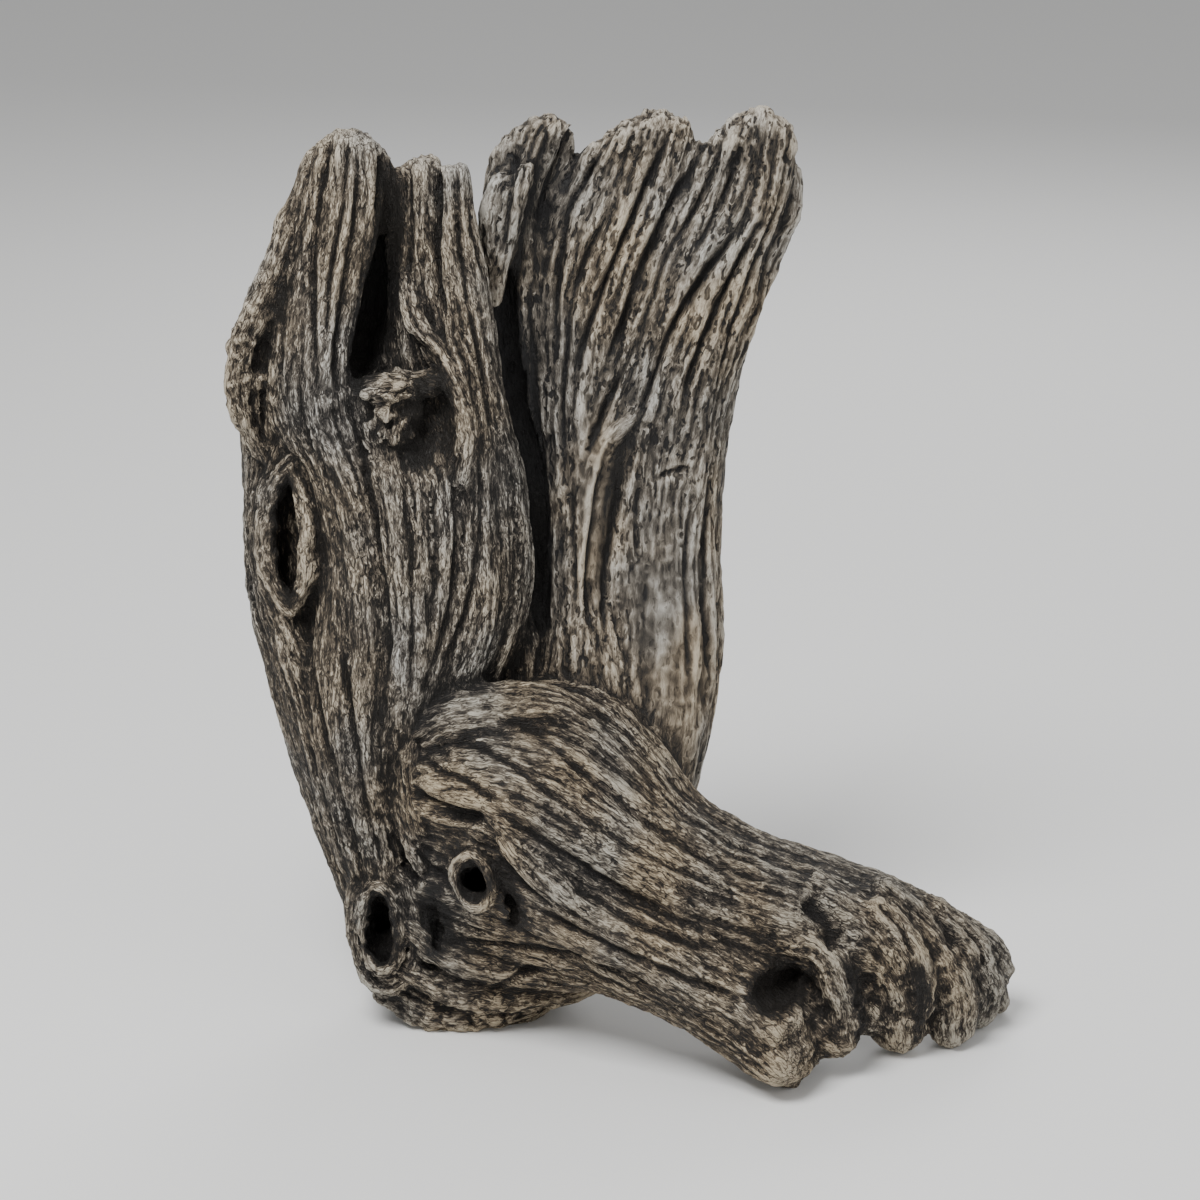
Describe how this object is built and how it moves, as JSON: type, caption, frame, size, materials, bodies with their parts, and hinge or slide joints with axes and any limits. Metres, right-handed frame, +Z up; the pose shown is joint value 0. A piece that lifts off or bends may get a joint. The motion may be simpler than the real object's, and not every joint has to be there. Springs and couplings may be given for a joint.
{
  "type": "piece of driftwood",
  "caption": "Upright weathered driftwood: a ribbed trunk with a slot and knots, a fluted slab behind it, and a root foot that reaches forward and ends in rounded toes.",
  "frame": {"origin": "on the flat spot under the heel, at ground level", "axes": "+Z up, +X to the right towards the toes as in the picture, -Y towards the viewer"},
  "size_m": [0.3166, 0.1499, 0.3758],
  "materials": {
    "weathered_wood": "sea-weathered bare wood, pale grey-tan ridges with near-black grain"
  },
  "bodies": {
    "root": {"driftwood": "weathered_wood"}
  },
  "joints": []
}
